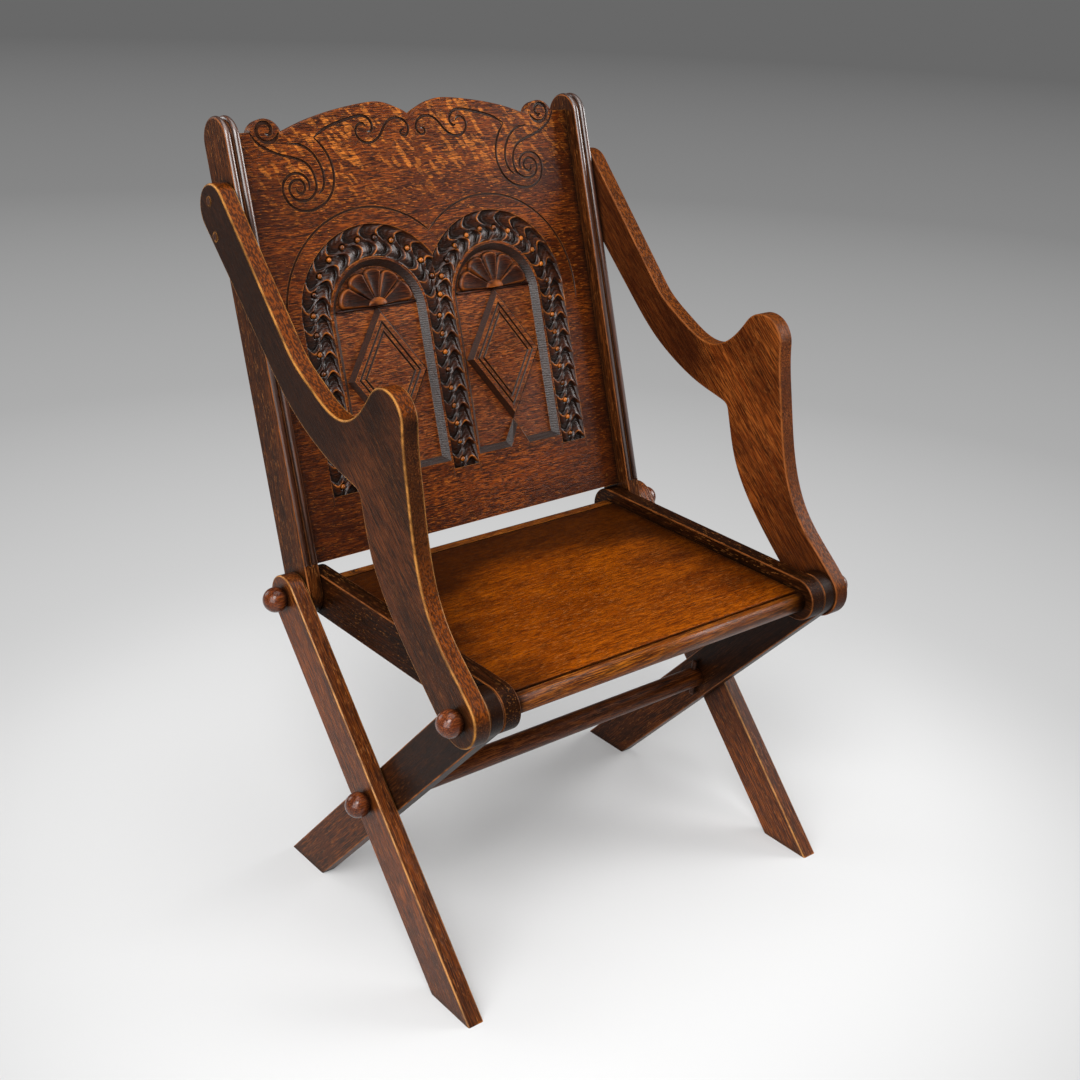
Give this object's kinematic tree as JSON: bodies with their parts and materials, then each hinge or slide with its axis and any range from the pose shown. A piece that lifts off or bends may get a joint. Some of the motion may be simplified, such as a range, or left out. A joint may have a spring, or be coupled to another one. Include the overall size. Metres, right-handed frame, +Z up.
{
  "type": "carved oak folding armchair",
  "caption": "Panel-backed oak armchair on crossed legs, pinned with ball-headed pegs; the carved back has twin arches with lozenges and the swept arms run from seat to stile.",
  "frame": {"origin": "on the floor, in the middle of the chair's overall width and depth", "axes": "+Z is up, -Y is the front where the sitter's feet are, +X is to the right seen from the front"},
  "size_m": [0.6226, 0.5704, 0.9167],
  "materials": {
    "dark_oak": "dark stained oak, waxed to a soft shine",
    "carved_oak": "stained quarter-sawn oak, dark in the carving",
    "worn_oak": "dark oak rubbed golden along the upper edges",
    "seat_oak": "golden brown waxed oak",
    "polished_oak": "dark turned oak, highly polished",
    "peg_oak": "plain cleft oak pegs, waxed"
  },
  "bodies": {
    "seat": {"seat_rail_left": "dark_oak", "seat_rail_right": "dark_oak", "seat_front_rail": "dark_oak", "seat_rear_rail": "dark_oak", "seat_board": "seat_oak", "seat_pins": "peg_oak", "rear_pin_left": "polished_oak", "rear_pin_right": "polished_oak"},
    "inner_legs": {"inner_leg_left": "dark_oak", "inner_leg_right": "dark_oak", "stretcher": "dark_oak"},
    "outer_leg_left": {"outer_leg_left": "dark_oak", "cross_pin_left": "polished_oak"},
    "outer_leg_right": {"outer_leg_right": "dark_oak", "cross_pin_right": "polished_oak"},
    "back": {"back_stile_left": "dark_oak", "back_stile_right": "dark_oak", "back_panel": "carved_oak", "panel_brads": "peg_oak", "arm_left": "worn_oak", "arm_right": "worn_oak", "arm_plugs_left": "peg_oak", "arm_plugs_right": "peg_oak", "front_pin_left": "polished_oak", "front_pin_right": "polished_oak"},
    "stretcher_peg_left": {"stretcher_peg_left": "peg_oak"},
    "stretcher_peg_right": {"stretcher_peg_right": "peg_oak"}
  },
  "joints": [
    {"name": "inner_legs_fold", "type": "hinge", "parent": "seat", "child": "inner_legs", "pos_m": [0, -0.25363, 0.379], "axis": [1, 0, 0], "range_deg": [0, 35]},
    {"name": "outer_leg_left_fold", "type": "hinge", "parent": "seat", "child": "outer_leg_left", "pos_m": [-0.2755, 0.09837, 0.379], "axis": [-1, 0, 0], "range_deg": [0, 35]},
    {"name": "outer_leg_right_fold", "type": "hinge", "parent": "seat", "child": "outer_leg_right", "pos_m": [0.2755, 0.09837, 0.379], "axis": [-1, 0, 0], "range_deg": [0, 35]},
    {"name": "back_let_down", "type": "hinge", "parent": "seat", "child": "back", "pos_m": [0, 0.09837, 0.379], "axis": [-1, 0, 0], "range_deg": [0, 72]},
    {"name": "stretcher_peg_left_draw", "type": "slide", "parent": "inner_legs", "child": "stretcher_peg_left", "axis": [0, 0, -1], "range_m": [0, 0.06]},
    {"name": "stretcher_peg_right_draw", "type": "slide", "parent": "inner_legs", "child": "stretcher_peg_right", "axis": [0, 0, -1], "range_m": [0, 0.06]}
  ],
  "couplings": [
    {"joint": "outer_leg_left_fold", "follows": "inner_legs_fold", "ratio": 1},
    {"joint": "outer_leg_right_fold", "follows": "inner_legs_fold", "ratio": 1}
  ]
}
